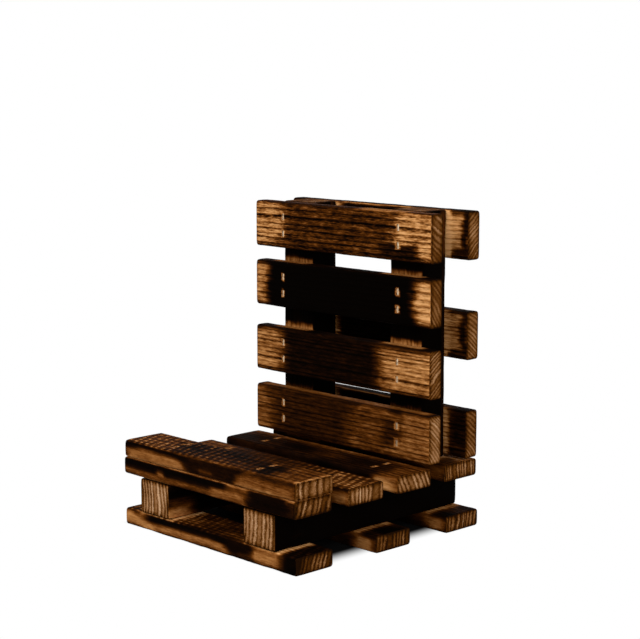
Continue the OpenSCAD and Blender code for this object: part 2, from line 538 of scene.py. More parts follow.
@dataclass
class Bar:
    """One planed bar of wood, cut to its node's box.

    Attributes:
        node: The node that it replaces, and its own name.
        lay: How it lies.
        slot: The record's material slot; not used.
        rings: Its growth rings.
        seed: Number that sets its grain and wear apart.
        burn: Burn of its faces, where no other is given.
        faces: Burn of single faces.
        corner: Burn along its long corners.
        corner_reach: How far that reaches in from a corner, in millimetres.
        scorches: Its special places, later ones over earlier ones.
        milled: Faces on which the saw's ridges still show.
        mill_fade: From where to where along the grain the ridges get fainter.
        figures: How strongly the grain shows on its wide faces, narrow faces and ends.
        spared: How far its inner corners stayed clear of the flame.
        edge: Radius of the long corners, in millimetres.
        blunt: Radius to which its upright corner at the front right is knocked off, in millimetres.
    """

    node: str
    lay: Lay
    slot: str
    rings: Rings
    seed: float
    burn: float = 0.6
    faces: dict[Face, float] = field(default_factory=dict)
    corner: float = 0.95
    corner_reach: float = 1.6
    scorches: tuple[Scorch, ...] = ()
    milled: tuple[Face, ...] = ()
    mill_fade: tuple[float, float] = (-15.0, 35.0)
    figures: tuple[float, float, float] = (1.0, 0.5, 1.0)
    spared: float = 0.6
    edge: float = 1.1
    blunt: float = 0.0

    STEP_ALONG = 1.25
    STEP_ACROSS = 1.1
    END_EDGE = 0.55
    WEAR = 0.22

    def corners(self) -> tuple[np.ndarray, np.ndarray]:
        """Lowest and highest corner of the node, in millimetres."""
        low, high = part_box(self.node)
        return np.array(low) / MM, np.array(high) / MM

    def build(
        self,
        finishes: tuple[bpy.types.Material, bpy.types.Material],
        holes: list[tuple[np.ndarray, np.ndarray]],
        others: list["Bar"],
    ) -> bpy.types.Object:
        """Makes the bar's mesh, its attributes and its place in the stand.

        Args:
            finishes: The material of side grain and that of end grain.
            holes: Low and high corners of the cuts over sunk heads, in millimetres.
            others: All the other bars, which kept the flame off where they touch this one.

        Returns:
            The finished object.
        """
        mesh = bpy.data.meshes.new(self.node + "_wood")
        work = bmesh.new()
        self.rough_out(work)
        self.wear_down(work)
        work.to_mesh(mesh)
        work.free()
        piece = bpy.data.objects.new(self.node + "_wood", mesh)
        bpy.context.scene.collection.objects.link(piece)
        if holes:
            sink_holes(piece, holes)
        piece.data.materials.clear()
        for finish in finishes:
            piece.data.materials.append(finish)
        self.write_attributes(piece.data, holes, others)
        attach(piece, "root")
        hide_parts(self.node)
        return piece

    def rough_out(self, work: bmesh.types.BMesh) -> None:
        """Cuts a box to size, rounds its corners and divides its faces evenly.

        Args:
            work: The empty mesh that gets the bar.
        """
        low, high = self.corners()
        size = high - low
        along, across, through = self.lay.value
        bmesh.ops.create_cube(work, size=1.0)
        bmesh.ops.scale(work, vec=Vector(size), verts=work.verts)
        bmesh.ops.translate(work, vec=Vector((low + high) / 2), verts=work.verts)
        long_edges = [e for e in work.edges if abs(self.direction(e)[along]) > 0.9]
        self.bevel(work, long_edges, self.edge, 3)
        ends = [
            e
            for e in work.edges
            if abs(self.direction(e)[along]) < 0.1
            and any(abs(f.normal[along]) > 0.9 for f in e.link_faces)
        ]
        self.bevel(work, ends, self.END_EDGE, 2)
        for axis, step in ((across, self.STEP_ACROSS), (through, self.STEP_ACROSS), (along, self.STEP_ALONG)):
            margin = self.END_EDGE if axis == along else self.edge
            span = size[axis] - 2 * margin
            count = max(1, round(span / step))
            normal = Vector((0, 0, 0))
            normal[axis] = 1.0
            for index in range(count + 1):
                place = Vector((0, 0, 0))
                place[axis] = low[axis] + margin + span * index / count
                bmesh.ops.bisect_plane(
                    work, geom=[*work.verts, *work.edges, *work.faces], dist=0.001, plane_co=place, plane_no=normal
                )

    @staticmethod
    def direction(edge: bmesh.types.BMEdge) -> Vector:
        """Unit direction of an edge."""
        return (edge.verts[1].co - edge.verts[0].co).normalized()

    @staticmethod
    def bevel(work: bmesh.types.BMesh, edges: list[bmesh.types.BMEdge], radius: float, segments: int) -> None:
        """Rounds edges.

        Args:
            work: The mesh.
            edges: The edges to round.
            radius: Width of the round, in millimetres.
            segments: Number of faces round it.
        """
        bmesh.ops.bevel(
            work,
            geom=edges,
            offset=radius,
            offset_type="OFFSET",
            segments=segments,
            profile=0.5,
            affect="EDGES",
            material=-1,
        )

    def wear_down(self, work: bmesh.types.BMesh) -> None:
        """Brushes the surface down unevenly, most along the corners, and turns it to metres.

        Args:
            work: The divided bar, in millimetres.
        """
        work.normal_update()
        low, high = self.corners()
        centre, half = (low + high) / 2, (high - low) / 2
        points = np.array([v.co for v in work.verts])
        along, across, through = self.lay.value
        local = (points - centre)[:, [along, across, through]]
        from_corner = (half[across] - np.abs(local[:, 1])) + (half[through] - np.abs(local[:, 2]))
        near = np.exp(-((from_corner / 1.6) ** 2))
        gouge = np.maximum(0.0, noise_at(local, (0.09, 0.15, 0.15), self.seed + 3.1))
        fine = noise_at(local, (0.5, 0.7, 0.7), self.seed + 7.7)
        depth = 0.03 + 0.02 * fine + self.WEAR * near * (0.35 + 1.6 * gouge + 0.25 * fine)
        for vert, cut in zip(work.verts, np.maximum(depth, 0.0)):
            vert.co -= vert.normal * float(cut)
            self.knock_off(vert, low, high)
        for vert in work.verts:
            vert.co *= MM
        for face in work.faces:
            face.smooth = True

    def knock_off(
        self, vert: bmesh.types.BMVert, low: np.ndarray, high: np.ndarray
    ) -> None:
        """Moves a point in to the round of the knocked-off corner.

        Args:
            vert: The point, in millimetres.
            low: Lowest corner of the node.
            high: Highest corner of the node.
        """
        centre = Vector((high[0] - self.blunt, low[1] + self.blunt, vert.co.z))
        out = vert.co - centre
        if out.x > 0 and out.y < 0 and out.length > self.blunt > 0:
            vert.co = centre + out.normalized() * self.blunt

    def write_attributes(
        self, mesh: bpy.types.Mesh, holes: list[tuple[np.ndarray, np.ndarray]], others: list["Bar"]
    ) -> None:
        """Writes the grain, ring, burn and saw-mark values that the finish reads.

        Args:
            mesh: The bar's finished mesh, in metres.
            holes: Low and high corners of the cuts over sunk heads, in millimetres.
            others: All the other bars.
        """
        count = len(mesh.vertices)
        points, normals = np.zeros(count * 3), np.zeros(count * 3)
        mesh.vertices.foreach_get("co", points)
        mesh.vertices.foreach_get("normal", normals)
        points, normals = points.reshape(-1, 3) / MM, normals.reshape(-1, 3)
        low, high = self.corners()
        centre = (low + high) / 2
        along, across, through = self.lay.value
        local = (points - centre)[:, [along, across, through]]

        lean = math.radians(self.rings.lean)
        over = local[:, 1] * math.cos(lean) + local[:, 2] * math.sin(lean) + self.rings.pith
        up = local[:, 2] * math.cos(lean) - local[:, 1] * math.sin(lean)
        ring = np.hypot(over, up) / self.rings.spacing
        ring += 0.9 * noise_at(np.outer(ring, (1.0, 0.0, 0.0)), (0.33, 1.0, 1.0), self.seed + 0.37)
        ring += 0.4 * noise_at(local, (0.012, 0.1, 0.1), self.seed)
        shift = np.array([self.seed * 61.0, self.seed * 17.0, self.seed * 29.0])

        values = {
            "ring": ring,
            "char": self.char(points, normals, local, holes, others),
            "mill": self.mill(points, normals),
            "figure": self.figure(normals),
        }
        for name, data in values.items():
            layer = mesh.attributes.new(name, "FLOAT", "POINT")
            layer.data.foreach_set("value", data.astype(np.float32))
        layer = mesh.attributes.new("grain_mm", "FLOAT_VECTOR", "POINT")
        layer.data.foreach_set("vector", (local + shift).astype(np.float32).ravel())
        for polygon in mesh.polygons:
            is_end = abs(polygon.normal[along]) > 0.75
            polygon.material_index = Cut.END.value if is_end else Cut.SIDE.value

    def figure(self, normals: np.ndarray) -> np.ndarray:
        """How strongly the grain shows at each point: less on a bar's narrow, planed faces.

        Args:
            normals: The points' normals.

        Returns:
            The strength of the face that each point is on.
        """
        along, across, _ = self.lay.value
        wide, narrow, end = self.figures
        on_narrow, on_end = normals[:, across] ** 2, normals[:, along] ** 2
        return wide + (narrow - wide) * on_narrow + (end - wide) * on_end

    def mill(self, points: np.ndarray, normals: np.ndarray) -> np.ndarray:
        """How far the saw's ridges show at each point.

        Args:
            points: Points in the stand's millimetres.
            normals: Their normals.

        Returns:
            A value from 0 to 1 for each point.
        """
        shown = np.zeros(len(normals))
        for face in self.milled:
            axis, sign = face.value
            shown = np.maximum(shown, smooth_step(sign * normals[:, axis], 0.6, 0.95))
        return shown * (1.0 - 0.7 * smooth_step(points[:, self.lay.value[0]], *self.mill_fade))

    def char(
        self,
        points: np.ndarray,
        normals: np.ndarray,
        local: np.ndarray,
        holes: list[tuple[np.ndarray, np.ndarray]],
        others: list["Bar"],
    ) -> np.ndarray:
        """How far the flame burnt each point.

        Args:
            points: Points in the stand's millimetres.
            normals: Their normals.
            local: The points along, across and through the bar, from its middle.
            holes: Low and high corners of the cuts over sunk heads, in millimetres.
            others: All the other bars.

        Returns:
            A value from 0 for bare wood to 1 for char for each point.
        """
        low, high = self.corners()
        half = (high - low) / 2
        along, across, through = self.lay.value
        weight_sum = np.zeros(len(points))
        level = np.zeros(len(points))
        for face in Face:
            axis, sign = face.value
            weight = np.maximum(0.0, sign * normals[:, axis]) ** 3
            level += weight * self.faces.get(face, self.burn)
            weight_sum += weight
        level /= np.maximum(weight_sum, 1e-6)
        level += 0.18 * noise_at(local, (0.05, 0.12, 0.12), self.seed + 1.3)

        is_end = smooth_step(np.abs(normals[:, along]), 0.5, 0.9)
        from_corner = (half[across] - np.abs(local[:, 1])) + (half[through] - np.abs(local[:, 2]))
        reach = self.corner_reach * (1.0 + 0.75 * noise_at(local, (0.07, 0.02, 0.02), self.seed + 5.9))
        band = np.exp(-((from_corner / np.maximum(reach, 0.3)) ** 2)) * (1.0 - is_end)
        level += band * (self.corner - level)

        rim = np.minimum(half[across] - np.abs(local[:, 1]), half[through] - np.abs(local[:, 2]))
        level += is_end * 0.5 * np.exp(-((rim / 0.9) ** 2))
        if self.blunt:
            # The flame caught the knocked-off corner from both sides
            away = np.hypot(high[0] - points[:, 0], points[:, 1] - low[1])
            away += 2.0 * noise_at(local, (0.2, 0.2, 0.2), self.seed + 6.1)
            level += is_end * np.exp(-((away / (2.2 * self.blunt)) ** 2)) * (1.05 - level)
        level = self.spare_inner_corners(level, points, normals, others, is_end)
        level = self.apply_scorches(level, points, normals, local)
        for hole_low, hole_high in holes:
            outside = np.linalg.norm(
                np.maximum(np.maximum(hole_low - points, points - hole_high), 0.0), axis=1
            )
            level = np.where(outside < 0.05, 0.3, level)
        return np.clip(level, 0.0, 1.15)

    def spare_inner_corners(
        self,
        level: np.ndarray,
        points: np.ndarray,
        normals: np.ndarray,
        others: list["Bar"],
        is_end: np.ndarray,
    ) -> np.ndarray:
        """Lightens the burn in inner corners, where another bar kept the flame off.

        Args:
            level: The burn so far.
            points: Points in the stand's millimetres.
            normals: Their normals.
            others: All the other bars.
            is_end: 1 on end grain, 0 on side grain.

        Returns:
            The burn with the inner corners spared.
        """
        spared = np.zeros(len(points))
        for other in others:
            low, high = other.corners()
            away = np.linalg.norm(np.maximum(np.maximum(low - points, points - high), 0.0), axis=1)
            reach_out = np.where(normals > 0, high, low)
            stands_over = np.sum(reach_out * normals, axis=1) - np.sum(points * normals, axis=1)
            shade = smooth_step(stands_over, 1.0, 3.0) * np.exp(-away / 2.2)
            spared = np.maximum(spared, shade)
        return level * (1.0 - self.spared * spared * (1.0 - is_end))

    def apply_scorches(
        self, level: np.ndarray, points: np.ndarray, normals: np.ndarray, local: np.ndarray
    ) -> np.ndarray:
        """Lays the bar's special places over the general burn.

        Args:
            level: The burn so far.
            points: Points in the stand's millimetres.
            normals: Their normals.
            local: The points along, across and through the bar, from its middle.

        Returns:
            The burn with the special places.
        """
        along, across, through = self.lay.value
        lick = 3.2 * noise_at(local, (0.09, 0.24, 0.24), self.seed + 9.4)
        lick += 1.4 * noise_at(local, (0.3, 0.6, 0.6), self.seed + 2.9)
        drift = 1.1 * noise_at(local, (0.07, 0.05, 0.05), self.seed + 4.2)
        for mark in self.scorches:
            axis, sign = mark.face.value
            side = across if axis == through else through
            on_face = smooth_step(sign * normals[:, axis], 0.35, 0.8)
            place = points[:, along] + lick * mark.lick
            over = local[:, 1 if side == across else 2] + drift * mark.lick
            soft_over = min(mark.soft, 1.8)
            mask = (
                on_face
                * smooth_step(place, mark.along[0] - mark.soft / 2, mark.along[0] + mark.soft / 2)
                * (1 - smooth_step(place, mark.along[1] - mark.soft / 2, mark.along[1] + mark.soft / 2))
                * smooth_step(over, mark.across[0] - soft_over / 2, mark.across[0] + soft_over / 2)
                * (1 - smooth_step(over, mark.across[1] - soft_over / 2, mark.across[1] + soft_over / 2))
            )
            level = level + mask * (mark.level - level)
        return level


def sink_holes(piece: bpy.types.Object, holes: list[tuple[np.ndarray, np.ndarray]]) -> None:
    """Cuts the small pockets over the sunk brad heads.

    Args:
        piece: The bar's object.
        holes: Low and high corner of each pocket, in millimetres.
    """
    work = bmesh.new()
    for low, high in holes:
        made = bmesh.ops.create_cube(work, size=1.0)["verts"]
        bmesh.ops.scale(work, vec=Vector(high - low) * MM, verts=made)
        bmesh.ops.translate(work, vec=Vector((low + high) / 2) * MM, verts=made)
    mesh = bpy.data.meshes.new("pockets")
    work.to_mesh(mesh)
    work.free()
    cutter = bpy.data.objects.new("pockets", mesh)
    bpy.context.scene.collection.objects.link(cutter)
    cut = piece.modifiers.new("pockets", "BOOLEAN")
    cut.operation = "DIFFERENCE"
    cut.solver = "EXACT"
    cut.object = cutter
    done = bpy.data.meshes.new_from_object(
        piece.evaluated_get(bpy.context.evaluated_depsgraph_get())
    )
    piece.modifiers.clear()
    piece.data = done
    bpy.data.objects.remove(cutter)
    edges = bmesh.new()
    edges.from_mesh(done)
    for edge in edges.edges:
        edge.smooth = edge.calc_face_angle(0.0) < math.radians(40)
    edges.to_mesh(done)
    edges.free()


def solid_boxes(node: str) -> list[tuple[np.ndarray, np.ndarray]]:
    """Boxes of the separate fasteners in one node.

    Args:
        node: Name of the node that holds the fasteners.

    Returns:
        Low and high corner of each fastener, in millimetres.
    """
    work = bmesh.new()
    work.from_mesh(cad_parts[node].data)
    bmesh.ops.remove_doubles(work, verts=work.verts, dist=1e-6)
    left = set(work.verts)
    boxes = []
    while left:
        group, todo = [], [left.pop()]
        while todo:
            vert = todo.pop()
            group.append(vert)
            for edge in vert.link_edges:
                other = edge.other_vert(vert)
                if other in left:
                    left.remove(other)
                    todo.append(other)
        points = np.array([v.co for v in group]) / MM
        boxes.append((points.min(0), points.max(0)))
    work.free()
    return boxes


@dataclass
class BasePallet:
    """The pallet that lies flat: bottom slats, two stringers and top slats.

    Attributes:
        slat_burn: Burn of the slats' open faces.
        hidden_burn: Burn between the slats, darker than on the open faces.
        stringer_burn: Burn of the stringers' sides.
        end_burn: Burn of the sawn ends.
    """

    slat_burn: float = 0.66
    hidden_burn: float = 0.95
    stringer_burn: float = 1.1
    end_burn: float = 0.43

    def bars(self) -> list[Bar]:
        """The pallet's nine bars."""
        return [*self.bottom_slats(), *self.stringers(), *self.top_slats()]

    def bottom_slats(self) -> list[Bar]:
        """The three slats that it stands on."""
        ends = {Face.LEFT: self.end_burn + 0.12, Face.RIGHT: self.end_burn + 0.12}
        inner = {**ends, Face.UNDER: self.slat_burn - 0.08}
        return [
            Bar(
                "base_bottom_slat_front",
                Lay.FLAT,
                "charred_slat",
                Rings(2.1, -14.0, 60.0),
                1.0,
                self.slat_burn,
                {**ends, Face.FRONT: 0.66, Face.TOP: 0.78},
                scorches=(
                    Scorch(Face.FRONT, (-50.0, 14.0), (-2.6, 1.0), 0.4, 4.0),
                    Scorch(Face.FRONT, (-52.0, -44.0), (-3.0, 2.0), 0.3, 3.0),
                    Scorch(Face.FRONT, (-43.0, -33.0), (-2.2, 0.8), 0.26, 4.0),
                    Scorch(Face.FRONT, (-36.0, 20.0), (0.6, 4.0), 1.0, 8.0),
                    Scorch(Face.FRONT, (12.0, 27.0), (-1.6, 4.0), 0.95, 6.0),
                    Scorch(Face.FRONT, (28.0, 41.0), (-2.6, 1.6), 0.38, 4.0),
                    Scorch(Face.FRONT, (44.0, 52.0), (-4.0, 4.0), 1.0, 3.0, 0.4),
                    Scorch(Face.TOP, (-24.0, -20.8), (-9.8, 9.8), 0.22, 2.0, 0.2),
                    Scorch(Face.TOP, (38.5, 41.4), (-9.8, 9.8), 0.16, 2.0, 0.3),
                    Scorch(Face.TOP, (42.5, 52.0), (-9.8, 9.8), 0.98, 3.0, 0.6),
                ),
                milled=(Face.TOP,),
                mill_fade=(-32.0, 12.0),
                blunt=2.4,
            ),
            Bar(
                "base_bottom_slat_middle",
                Lay.FLAT,
                "charred_slat",
                Rings(2.1, -8.0, 60.0),
                2.0,
                self.hidden_burn,
                inner,
                scorches=(
                    Scorch(Face.FRONT, (38.0, 49.0), (-3.6, 1.8), 0.33, 7.0, 0.8),
                    Scorch(Face.TOP, (38.5, 41.6), (-9.8, 9.0), 0.38, 2.0, 0.3),
                ),
            ),
            Bar(
                "base_bottom_slat_rear",
                Lay.FLAT,
                "charred_slat",
                Rings(1.8, -6.0, 60.0),
                3.0,
                self.hidden_burn,
                inner,
                scorches=(
                    Scorch(Face.FRONT, (40.0, 48.0), (-2.8, 2.0), 0.44, 7.0, 0.8),
                    Scorch(Face.TOP, (38.5, 41.6), (-9.8, 9.0), 0.38, 2.0, 0.3),
                ),
            ),
        ]

    def stringers(self) -> list[Bar]:
        """The two stringers between the layers of slats."""
        ends = {Face.FRONT: self.end_burn - 0.17, Face.REAR: self.end_burn - 0.1}
        return [
            Bar(
                "base_stringer_left",
                Lay.RAIL,
                "charred_stringer",
                Rings(1.9, 4.0, 60.0),
                4.0,
                self.stringer_burn,
                ends,
                scorches=(
                    Scorch(Face.RIGHT, (-52.0, -37.0), (-8.0, 1.5), 0.7, 9.0),
                    Scorch(Face.RIGHT, (-52.0, -41.0), (-8.0, -2.5), 0.34, 7.0),
                ),
                spared=0.15,
                edge=0.8,
            ),
            Bar(
                "base_stringer_right",
                Lay.RAIL,
                "charred_stringer",
                Rings(2.2, -3.0, 60.0),
                5.0,
                self.stringer_burn,
                ends,
                spared=0.0,
                edge=0.8,
            ),
        ]

    def top_slats(self) -> list[Bar]:
        """The four slats of the deck."""
        ends = {Face.LEFT: self.end_burn - 0.03, Face.RIGHT: self.end_burn - 0.07}
        deck = {**ends, Face.FRONT: self.hidden_burn, Face.REAR: self.hidden_burn}
        return [
            Bar(
                "base_top_slat_1",
                Lay.FLAT,
                "charred_slat",
                Rings(2.4, -18.0, 60.0),
                6.0,
                self.slat_burn,
                {Face.LEFT: self.end_burn, Face.RIGHT: self.end_burn + 0.14, Face.FRONT: 0.76},
                scorches=(
                    Scorch(Face.FRONT, (-50.0, 4.0), (-2.6, -0.6), 0.52, 4.0, 0.5),
                    Scorch(Face.FRONT, (-52.0, 12.0), (0.0, 4.0), 1.0, 4.0, 0.5),
                    Scorch(Face.FRONT, (-30.0, -25.5), (-0.2, 1.2), 0.42, 2.5, 0.3),
                    Scorch(Face.FRONT, (3.0, 22.5), (-2.8, 0.7), 0.42, 4.0, 0.6),
                    Scorch(Face.FRONT, (24.0, 45.0), (-4.0, 4.0), 0.95, 5.0, 0.8),
                ),
            ),
            Bar(
                "base_top_slat_2",
                Lay.FLAT,
                "charred_slat",
                Rings(2.4, 2.0, 60.0),
                7.0,
                self.slat_burn + 0.06,
                deck,
                scorches=(
                    Scorch(Face.TOP, (-30.0, 25.0), (-9.8, 9.8), 0.86, 14.0),
                    Scorch(Face.FRONT, (41.0, 50.0), (-3.2, 2.2), 0.4, 7.0, 0.8),
                ),
                milled=(Face.TOP,),
                mill_fade=(30.0, -5.0),
            ),
            Bar(
                "base_top_slat_3",
                Lay.FLAT,
                "charred_slat",
                Rings(2.1, 22.0, 60.0),
                8.0,
                self.slat_burn + 0.27,
                deck,
                scorches=(
                    Scorch(Face.TOP, (41.0, 52.0), (-9.8, 9.8), 0.68, 8.0),
                    Scorch(Face.FRONT, (37.0, 50.0), (-3.8, 2.4), 0.24, 8.0, 0.8),
                ),
            ),
            Bar(
                "base_top_slat_4",
                Lay.FLAT,
                "charred_slat",
                Rings(1.7, 6.0, 50.0),
                9.0,
                self.slat_burn + 0.16,
                {**deck, Face.RIGHT: self.end_burn + 0.06},
                scorches=(Scorch(Face.FRONT, (40.0, 49.0), (-3.0, 2.4), 0.6, 6.0),),
            ),
        ]


@dataclass
class Lip:
    """The slat along the front that the phone's lower edge stands behind.

    Attributes:
        front_burn: Burn of its front.
        top_char_and_shade: Darkness of its top, where saw marks still show: char, and in the middle partly a
            painted shadow of a leaning phone.
        end_burn: Burn of the sawn ends.
    """

    front_burn: float = 0.7
    top_char_and_shade: float = 0.94
    end_burn: float = 0.39

    def bars(self) -> list[Bar]:
        """The one slat."""
        return [
            Bar(
                "phone_lip_slat",
                Lay.FLAT,
                "charred_slat",
                Rings(2.8, 0.0, 70.0),
                10.0,
                self.front_burn,
                {Face.LEFT: self.end_burn, Face.RIGHT: self.end_burn, Face.TOP: self.top_char_and_shade},
                corner=0.85,
                scorches=(
                    # The top's ends are lighter than its middle, whose darkness is partly a painted shadow of a
                    # leaning phone
                    Scorch(Face.TOP, (-52.0, -26.0), (-9.8, 9.8), 0.76, 14.0),
                    Scorch(Face.TOP, (34.0, 52.0), (-9.8, 9.8), 0.7, 8.0),
                    Scorch(Face.FRONT, (-52.0, 20.0), (1.4, 4.0), 1.0, 5.0),
                    Scorch(Face.FRONT, (-47.0, -13.0), (-3.0, 1.3), 0.44, 5.0),
                    Scorch(Face.FRONT, (-12.0, 17.0), (-4.0, 4.0), 0.9, 6.0),
                    Scorch(Face.FRONT, (-4.0, 4.0), (-2.2, -0.8), 0.7, 2.0, 0.4),
                    Scorch(Face.FRONT, (18.5, 48.0), (-3.2, 1.6), 0.54, 5.0),
                    Scorch(Face.FRONT, (16.0, 48.5), (-3.3, -2.2), 0.38, 4.0, 0.3),
                    # A paler line along the rounded front edge of the top: a painted highlight
                    Scorch(Face.TOP, (-34.0, 50.5), (-10.0, -8.9), 0.42, 16.0, 0.3),
                    Scorch(Face.TOP, (49.0, 50.5), (-10.0, 10.0), 0.34, 1.5, 0.3),
                ),
                milled=(Face.TOP,),
            )
        ]


@dataclass
class BackPallet:
    """The pallet that stands upright as the back rest.

    Attributes:
        face_burn: Burn of the slats' faces.
        edge_burn: Burn of the slats' narrow faces.
        end_burn: Burn of the sawn ends.
        stringer_burn: Burn of the uprights' sides.
    """

    face_burn: float = 0.55
    edge_burn: float = 0.95
    end_burn: float = 0.54
    stringer_burn: float = 1.1

    def bars(self) -> list[Bar]:
        """The pallet's nine bars."""
        return [*self.front_slats(), *self.uprights(), *self.rear_slats()]

    def front_slats(self) -> list[Bar]:
        """The four slats that the phone leans on, from the top down."""
        ends = {Face.LEFT: self.end_burn, Face.RIGHT: self.end_burn}
        dark = {**ends, Face.TOP: self.edge_burn, Face.UNDER: 1.0, Face.REAR: self.edge_burn}
        in_front_of_upright = (
            # The first: a pale line along the rear edge of the top between the uprights, a painted highlight
            Scorch(Face.TOP, (-18.0, 20.0), (2.8, 3.6), 0.4, 1.5, 0.2),
            Scorch(Face.TOP, (21.0, 43.0), (-1.4, 3.8), 0.34, 3.0, 0.3),
            Scorch(Face.TOP, (-41.0, -21.0), (-1.4, 3.8), 0.4, 3.0, 0.3),
        )
        soft_face = (0.8, 0.5, 0.6)
        return [
            Bar(
                "back_front_slat_1",
                Lay.UPRIGHT,
                "charred_slat",
                Rings(2.0, 38.0, 60.0),
                11.0,
                self.face_burn,
                {**dark, Face.TOP: 0.7},
                scorches=(
                    Scorch(Face.FRONT, (-52.0, -34.0), (-8.0, 9.4), 0.4, 8.0),
                    # Dark middle of the face: char, and partly a painted shadow of a leaning phone
                    Scorch(Face.FRONT, (-34.0, 30.0), (-9.8, 9.8), 0.78, 12.0),
                    Scorch(Face.FRONT, (33.0, 52.0), (-8.8, 9.4), 0.37, 5.0),
                    Scorch(Face.FRONT, (22.0, 42.0), (-9.8, -3.0), 0.9, 6.0),
                    # Paler patch on the top: lighter burn, and partly a painted highlight of the oiled top's sheen
                    Scorch(Face.TOP, (10.0, 36.0), (-3.4, 3.4), 0.4, 8.0, 0.4),
                ),
                figures=(1.7, 0.5, 0.6),
            ),
            Bar(
                "back_front_slat_2",
                Lay.UPRIGHT,
                "charred_slat",
                Rings(1.9, 50.0, 50.0),
                12.0,
                self.face_burn,
                dark,
                scorches=(
                    Scorch(Face.FRONT, (-52.0, -42.0), (-8.0, 8.0), 0.36, 6.0),
                    # Dark middle of the face: char, and partly a painted shadow of a leaning phone
                    Scorch(Face.FRONT, (-42.0, 40.0), (-9.8, 9.8), 1.08, 9.0),
                    Scorch(Face.FRONT, (43.0, 52.0), (-7.8, 8.4), 0.2, 6.0, 0.8),
                    *in_front_of_upright,
                ),
                figures=(1.15, 0.5, 0.5),
            ),
            Bar(
                "back_front_slat_3",
                Lay.UPRIGHT,
                "charred_slat",
                Rings(1.4, -36.0, 60.0),
                13.0,
                self.face_burn - 0.17,
                {**dark, Face.LEFT: self.end_burn - 0.1, Face.RIGHT: self.end_burn - 0.16},
                scorches=(
                    # Dark middle of the face: char, and partly a painted shadow of a leaning phone
                    Scorch(Face.FRONT, (-34.0, 22.0), (-9.8, 9.8), 0.94, 12.0),
                    *in_front_of_upright,
                ),
                figures=(1.1, 0.5, 0.7),
            ),
            Bar(
                "back_front_slat_4",
                Lay.UPRIGHT,
                "charred_slat",
                Rings(1.2, 48.0, 50.0),
                14.0,
                self.face_burn,
                {**dark, Face.LEFT: self.end_burn - 0.1, Face.RIGHT: self.end_burn - 0.16},
                scorches=(
                    Scorch(Face.TOP, (-48.0, 48.0), (-2.2, 3.8), 0.5, 4.0, 0.3),
                    # Dark middle of the face: char, and partly a painted shadow of a leaning phone
                    Scorch(Face.FRONT, (-40.0, 6.0), (-9.8, 9.8), 0.82, 14.0),
                    Scorch(Face.FRONT, (12.0, 26.0), (-9.0, 9.0), 0.66, 5.0),
                    Scorch(Face.FRONT, (26.0, 34.0), (-5.0, 5.0), 0.8, 4.0),
                    Scorch(Face.FRONT, (35.0, 52.0), (-8.5, 8.5), 0.5, 5.0),
                ),
                figures=soft_face,
            ),
        ]

    def uprights(self) -> list[Bar]:
        """The two stringers that stand on the base."""
        bars = []
        for side, seed, lean in (("left", 15.0, 3.0), ("right", 16.0, -6.0)):
            bars.append(
                Bar(
                    "back_stringer_" + side,
                    Lay.POST,
                    "charred_stringer",
                    Rings(2.1, lean, 60.0),
                    seed,
                    self.stringer_burn,
                    {Face.TOP: self.end_burn, Face.UNDER: self.end_burn},
                    corner=0.88,
                    corner_reach=0.7,
                    scorches=(
                        Scorch(Face.FRONT, (46.0, 49.6), (-9.0, 9.0), 0.7, 1.5, 0.2),
                        Scorch(Face.FRONT, (72.0, 76.0), (-9.0, 9.0), 0.36, 1.8, 0.2),
                        Scorch(Face.FRONT, (100.0, 103.8), (-9.0, 9.0), 0.4, 1.8, 0.25),
                        Scorch(Face.RIGHT, (27.0, 106.0), (4.4, 8.0), 0.93, 1.6, 0.6),
                        Scorch(Face.RIGHT, (109.0, 128.0), (3.0, 8.0), 0.74, 6.0, 0.6),
                        Scorch(Face.LEFT, (27.0, 106.0), (4.4, 8.0), 0.93, 1.6, 0.6),
                        Scorch(Face.LEFT, (109.0, 128.0), (3.0, 8.0), 0.74, 6.0, 0.6),
                    ),
                    figures=(0.5, 0.5, 1.0),
                    spared=0.0,
                    edge=0.8,
                )
            )
        return bars

    def rear_slats(self) -> list[Bar]:
        """The three slats on the rear, from the top down."""
        bars = []
        for place, seed, lean, front, strip, lit, black in (
            ("top", 17.0, -40.0, 0.28, 0.0, (-52.0, -24.0), (2.0, 27.0)),
            ("middle", 18.0, 36.0, 0.4, 0.24, (22.0, 52.0), (-30.0, 4.0)),
            ("bottom", 19.0, 44.0, 0.86, 0.24, (-46.0, -8.0), (14.0, 44.0)),
        ):
            faces = {
                Face.LEFT: self.end_burn - 0.04,
                Face.RIGHT: self.end_burn - 0.06,
                Face.REAR: 0.56,
                Face.FRONT: front,
            }
            bars.append(
                Bar(
                    "back_rear_slat_" + place,
                    Lay.UPRIGHT,
                    "charred_slat",
                    Rings(1.4, lean, 50.0),
                    seed,
                    self.edge_burn,
                    faces,
                    scorches=(
                        Scorch(Face.FRONT, (-20.0, 20.0), (-9.8, 9.8), 0.98, 6.0),
                        Scorch(Face.FRONT, (47.0, 51.0), (-9.8, 9.8), 0.92, 3.0, 0.6),
                        Scorch(Face.FRONT, (40.0, 51.0), (-9.8, -5.5), 0.84, 5.0),
                        Scorch(Face.FRONT, (38.0, 41.2), (-9.2, 9.2), strip, 1.5, 0.3),
                        # A pale line along the front edge of the top between the uprights: a painted highlight
                        Scorch(Face.TOP, (-20.0, 20.0), (-3.8, -2.4), 0.2, 3.0, 0.2),
                        Scorch(Face.REAR, lit, (-8.6, 9.0), 0.34, 9.0),
                        Scorch(Face.REAR, black, (-9.8, 9.8), 0.96, 10.0),
                    ),
                    figures=(1.1, 0.5, 0.6),
                )
            )
        return bars


